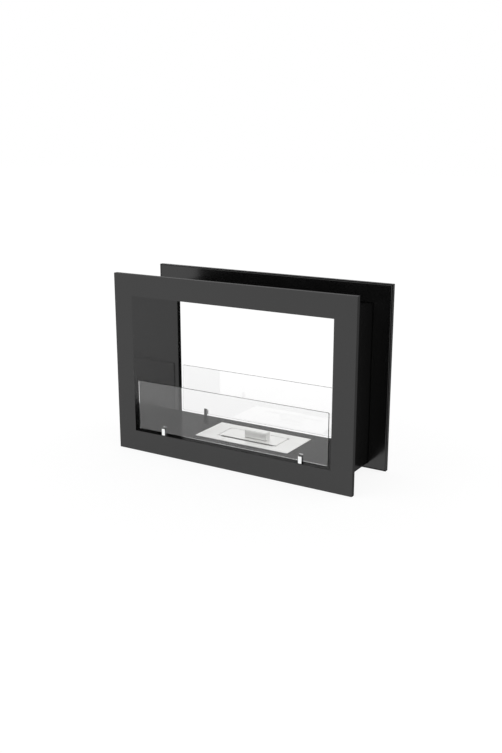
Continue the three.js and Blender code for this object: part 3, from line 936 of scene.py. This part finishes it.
def clip_mesh(end, node, sizes):
    """A U-shaped block with round shoulders, its section carried across the clip's width.

    The leg outside the pane ends lower than the one inside it. A bore from below takes the screw.
    """
    low, high = box_of(node)
    liner_low, liner_high = box_of(node.replace("clip", "clip_liner"))
    half, slot = (high[1] - low[1]) / 2, (liner_high[1] - liner_low[1]) / 2
    web, outer, inner = liner_low[2], low[2] + sizes.clip_outer, high[2]
    rounding, quarter = sizes.clip_rounding, math.pi / 2
    section = np.concatenate([
        [(-half, low[2]), (half, low[2])],
        arc((half - rounding, outer - rounding), rounding, 0.0, quarter, 5),
        [(slot, outer), (slot, web), (-slot, web), (-slot, inner)],
        arc((rounding - half, inner - rounding), rounding, quarter, quarter, 5)])
    mesh = sheet_along_x("clip", across_pane(end, node, section), low[0], high[0])
    middle = middle_of(node)
    screws = [middle_of(name) for name in nodes_like(end, "clip_screw")]
    x, y, _ = min(screws, key=lambda place: abs(place[0] - middle[0]))
    bore = bore_mesh(x, y, low[2] - OVERSHOOT, low[2] + sizes.clip_bore, sizes.screw_bore)
    return cut_mesh(mesh, [bore])


def liner_mesh(end, node, sizes):
    """A rubber strip bent twice at right angles to line a clip's slot."""
    low, high = box_of(node)
    half = (high[1] - low[1]) / 2
    outer = box_of(node.replace("_liner", ""))[0][2] + sizes.clip_outer - sizes.liner_drop
    line = [(-half, high[2]), (-half, low[2]), (half, low[2]), (half, outer)]
    section = folded_section(line, sizes.liner, LINER_BEND)
    return sheet_along_x("liner", across_pane(end, node, section), low[0], high[0])


class FIREPLACE_OT_clips(bpy.types.Operator):
    """Builds the four chromed clips and their rubber liners"""

    bl_idname = "fireplace.clips"
    bl_label = "Clips"

    def execute(self, context):
        sizes = context.scene.fireplace_sizes
        for end in ("front", "rear"):
            for side in ("left", "right"):
                clip, liner = f"{end}_clip_{side}", f"{end}_clip_liner_{side}"
                new_piece(f"{clip}_block", clip_mesh(end, clip, sizes), "body",
                          "polished_chrome", clip, CLIP_EDGE)
                new_piece(f"{liner}_strip", liner_mesh(end, liner, sizes), "body",
                          "black_rubber", liner)
        return {"FINISHED"}


# Burner

def flat_ring(name, outer, inner, centre, radius, low, high):
    """A flat plate with an aperture: the outline and the aperture's edge at both heights."""
    edges = [(outer, low), (outer, high), (inner, high), (inner, low)]
    loops = [plan_loops(*size, radius, centre, [0.0], [height])[0] for size, height in edges]
    return loops_mesh(name, np.stack(loops), closed=True)


def plate_mesh(sizes):
    """The burner's top plate, a flat ring with round corners."""
    low, high = box_of("burner_plate")
    outer = (high - low)[:2]
    inner = outer - 2 * np.array([sizes.margin_x, sizes.margin_y])
    centre = ((low + high) / 2)[:2]
    return flat_ring("plate", outer, inner, centre, sizes.plate_corner, low[2], high[2])


def tank_mesh(sizes):
    """A drawn pan: loops go out over the bottom, up the wall, over the rim and down the inside.

    Both bottom edges are quarter rounds.
    """
    low, high = box_of("burner_tank")
    length, width = (high - low)[:2]
    wall = sizes.burner_sheet
    outer_inset, outer_rise = quarter_round(TANK_BEND + wall, 5)
    inner_inset, inner_rise = quarter_round(TANK_BEND, 5)
    rim = [high[2], high[2]]
    insets = np.concatenate([outer_inset, [0.0, wall], wall + inner_inset[::-1]])
    heights = np.concatenate([low[2] + outer_rise, rim, low[2] + wall + inner_rise[::-1]])
    centre = ((low + high) / 2)[:2]
    loops = plan_loops(length, width, sizes.cutout_corner, centre, insets, heights)
    return loops_mesh("tank", loops, closed=False)


def wool_mesh():
    """A felted block: a grid of loops from the outline inwards, with its top raised in soft lumps.

    The lumps are a sum of three sine waves in x and y, and fade out at the block's edge.
    """
    low, high = box_of("wool_insert")
    length, width = (high - low)[:2]
    centre = ((low + high) / 2)[:2]
    step = np.linspace(0.0, 1.0, WOOL_LOOPS)
    insets = step * (width / 2 - WOOL_MIDDLE)
    heights = np.full(WOOL_LOOPS, high[2] - WOOL_LUMP)
    top = plan_loops(length, width, WOOL_CORNER, centre, insets, heights, steps=10)
    x, y = top[..., 0] / MM, top[..., 1] / MM
    waves = sum(np.sin(along * x + across * y) for along, across in WOOL_WAVES) / len(WOOL_WAVES)
    fade = np.clip(step / WOOL_FADE, 0.0, 1.0)[:, None]
    top[..., 2] += WOOL_LUMP * waves * fade
    bottom = plan_loops(length, width, WOOL_CORNER, centre, [0.0], [low[2]], steps=10)
    return loops_mesh("wool", np.concatenate([bottom, top]), closed=False)


class FIREPLACE_OT_burner(bpy.types.Operator):
    """Builds the burner's plate, its drawn tank and the ceramic wool in it"""

    bl_idname = "fireplace.burner"
    bl_label = "Burner"

    def execute(self, context):
        sizes = context.scene.fireplace_sizes
        new_piece("burner_top_plate", plate_mesh(sizes), "burner",
                  "brushed_stainless", "burner_plate", PLATE_EDGE)
        new_piece("burner_drawn_tank", tank_mesh(sizes), "burner",
                  "brushed_stainless", "burner_tank", sizes.edge)
        wool = new_piece("felted_wool", wool_mesh(), "burner",
                         "ceramic_wool", "wool_insert", sharp=FELT_CREASE)
        return {"FINISHED"}


# Lid and grip

def lid_mesh(sizes):
    """The lid: a flat plate with round corners."""
    low, high = box_of("burner_lid")
    length, width = (high - low)[:2]
    centre = ((low + high) / 2)[:2]
    loops = plan_loops(
        length, width, sizes.plate_corner, centre, [0.0, 0.0], [low[2], high[2]])
    return loops_mesh("lid", loops, closed=False)


def grip_mesh(sizes):
    """The grip: a strip folded to a box that is open below, and a cap welded in each end."""
    low, high = box_of("lid_grip")
    middle = (low[1] + high[1]) / 2
    flange = (high[1] - low[1]) / 2 - sizes.grip_flange
    wall = sizes.burner_sheet
    line = [(middle + flange, low[2]), (high[1], low[2]), (high[1], high[2]), (low[1], high[2]),
            (low[1], low[2]), (middle - flange, low[2])]
    section = folded_section(line, wall, sizes.bend, steps=8)
    strip = sheet_along_x("strip", section, low[0] + wall, high[0] - wall)
    outline = rounded_rectangle(high[1] - low[1], high[2] - low[2], sizes.bend + wall, 8)
    outline = outline + [middle, (low[2] + high[2]) / 2]
    caps = [sheet_along_x("cap", outline, x, x + wall) for x in (low[0], high[0] - wall)]
    return joined_mesh("grip", [strip, *caps])


class FIREPLACE_OT_lid(bpy.types.Operator):
    """Builds the burner's lid and its folded grip"""

    bl_idname = "fireplace.lid"
    bl_label = "Lid"

    def execute(self, context):
        sizes = context.scene.fireplace_sizes
        new_piece("lid_plate", lid_mesh(sizes), "lid",
                  "brushed_stainless", "burner_lid", PLATE_EDGE)
        new_piece("lid_folded_grip", grip_mesh(sizes), "lid",
                  "brushed_stainless", "lid_grip", PLATE_EDGE)
        return {"FINISHED"}


# Fasteners

def screw_mesh(node, sizes, head, seat):
    """A turned screw, head down: its hexagon socket, its head, then the shank up to its tip.

    The head's rows are (radius, height above the lowest point), and the shank begins at the seat.
    """
    low, high = box_of(node)
    face, socket = low[2], sizes.socket
    shank = sizes.screw_bore - sizes.seat_gap
    rows = [
        (socket * 0.3, face + SOCKET_DEPTH * 1.2, 0.0), (socket, face + SOCKET_DEPTH, 1.0),
        (socket, face + SOCKET_RIM, 1.0), (socket * 1.2, face, 0.0),
        *((radius, face + height, 0.0) for radius, height in head),
        (shank, face + seat, 0.0), (shank, high[2] - SCREW_TIP, 0.0),
        (shank - SCREW_TIP, high[2], 0.0)]
    return lathed_mesh("screw", rows, (*middle_of(node)[:2], 0.0))


def head_radius(node):
    """Half the width of a solid along x."""
    low, high = box_of(node)
    return (high[0] - low[0]) / 2


def pan_screw(node, sizes):
    """A pan-head screw, whose head is rounded over the lower half of its height."""
    radius = head_radius(node)
    inset, rise = quarter_round(PAN_HEAD / 2, 5)
    return screw_mesh(node, sizes, [*zip(radius - inset, rise), (radius, PAN_HEAD)], PAN_HEAD)


def countersunk_screw(node, sizes):
    """A countersunk screw with its flat head level with the frame's underside."""
    radius = head_radius(node)
    return screw_mesh(node, sizes, [(radius - SINK_RIM, 0.0), (radius, SINK_RIM)], sizes.sheet)


def rivet_mesh(node):
    """A blind rivet: a domed head below, a shank, and a rounded bulb above.

    Both ends are quarters of an ellipse that start at a small flat.
    """
    low, high = box_of(node)
    radius = head_radius(node)
    inset, rise = quarter_round(1.0, 4)
    across = radius - (radius - RIVET_FLAT) * inset
    rows = [
        *((r, low[2] + RIVET_HEAD * z, 0.0) for r, z in zip(across, rise)),
        (RIVET_SHANK, low[2] + RIVET_HEAD, 0.0), (RIVET_SHANK, high[2] - RIVET_HEAD, 0.0),
        *((r, high[2] - RIVET_HEAD * z, 0.0) for r, z in zip(across[::-1], rise[::-1]))]
    return lathed_mesh("rivet", rows, (*middle_of(node)[:2], 0.0), columns=24)


class FIREPLACE_OT_fasteners(bpy.types.Operator):
    """Builds the screws under the clips, the base cover and the frames, and the grip's rivets"""

    bl_idname = "fireplace.fasteners"
    bl_label = "Fasteners"

    def execute(self, context):
        sizes = context.scene.fireplace_sizes
        for node in nodes_like("clip_screw") + nodes_like("cover_screw"):
            new_piece(f"{node}_turned", pan_screw(node, sizes), "body",
                      "zinc_plate", node, sharp=SCREW_CREASE)
        for node in nodes_like("frame_screw"):
            new_piece(f"{node}_turned", countersunk_screw(node, sizes), "body",
                      "zinc_plate", node, sharp=SCREW_CREASE)
        for node in nodes_like("lid_rivet"):
            new_piece(f"{node}_set", rivet_mesh(node), "lid", "zinc_plate", node)
        return {"FINISHED"}


# Panel

STEPS = (FIREPLACE_OT_stage, FIREPLACE_OT_materials, FIREPLACE_OT_frames, FIREPLACE_OT_hearth,
         FIREPLACE_OT_panes, FIREPLACE_OT_clips, FIREPLACE_OT_burner, FIREPLACE_OT_lid,
         FIREPLACE_OT_fasteners)


class FIREPLACE_PT_panel(bpy.types.Panel):
    """Lists the sizes, the colours, the studio's values and the steps that build the fireplace"""

    bl_idname = "FIREPLACE_PT_panel"
    bl_label = "Fireplace"
    bl_space_type = "VIEW_3D"
    bl_region_type = "UI"
    bl_category = "Fireplace"

    def draw(self, context):
        scene = context.scene
        for group in (scene.fireplace_sizes, scene.fireplace_colours, scene.fireplace_studio):
            box = self.layout.box()
            for name in type(group).__annotations__:
                box.prop(group, name)
        for step in STEPS:
            self.layout.operator(step.bl_idname)


CLASSES = (FireplaceSizes, FireplaceColours, FireplaceStudio, *STEPS, FIREPLACE_PT_panel)


def register():
    for cls in CLASSES:
        bpy.utils.register_class(cls)
    bpy.types.Scene.fireplace_sizes = bpy.props.PointerProperty(type=FireplaceSizes)
    bpy.types.Scene.fireplace_colours = bpy.props.PointerProperty(type=FireplaceColours)
    bpy.types.Scene.fireplace_studio = bpy.props.PointerProperty(type=FireplaceStudio)


def unregister():
    del bpy.types.Scene.fireplace_studio
    del bpy.types.Scene.fireplace_colours
    del bpy.types.Scene.fireplace_sizes
    for cls in reversed(CLASSES):
        bpy.utils.unregister_class(cls)


def main():
    register()
    bpy.ops.fireplace.stage()
    bpy.ops.fireplace.materials()
    bpy.ops.fireplace.frames()
    bpy.ops.fireplace.hearth()
    bpy.ops.fireplace.panes()
    bpy.ops.fireplace.clips()
    bpy.ops.fireplace.burner()
    bpy.ops.fireplace.lid()
    bpy.ops.fireplace.fasteners()


if __name__ == "__main__":
    main()
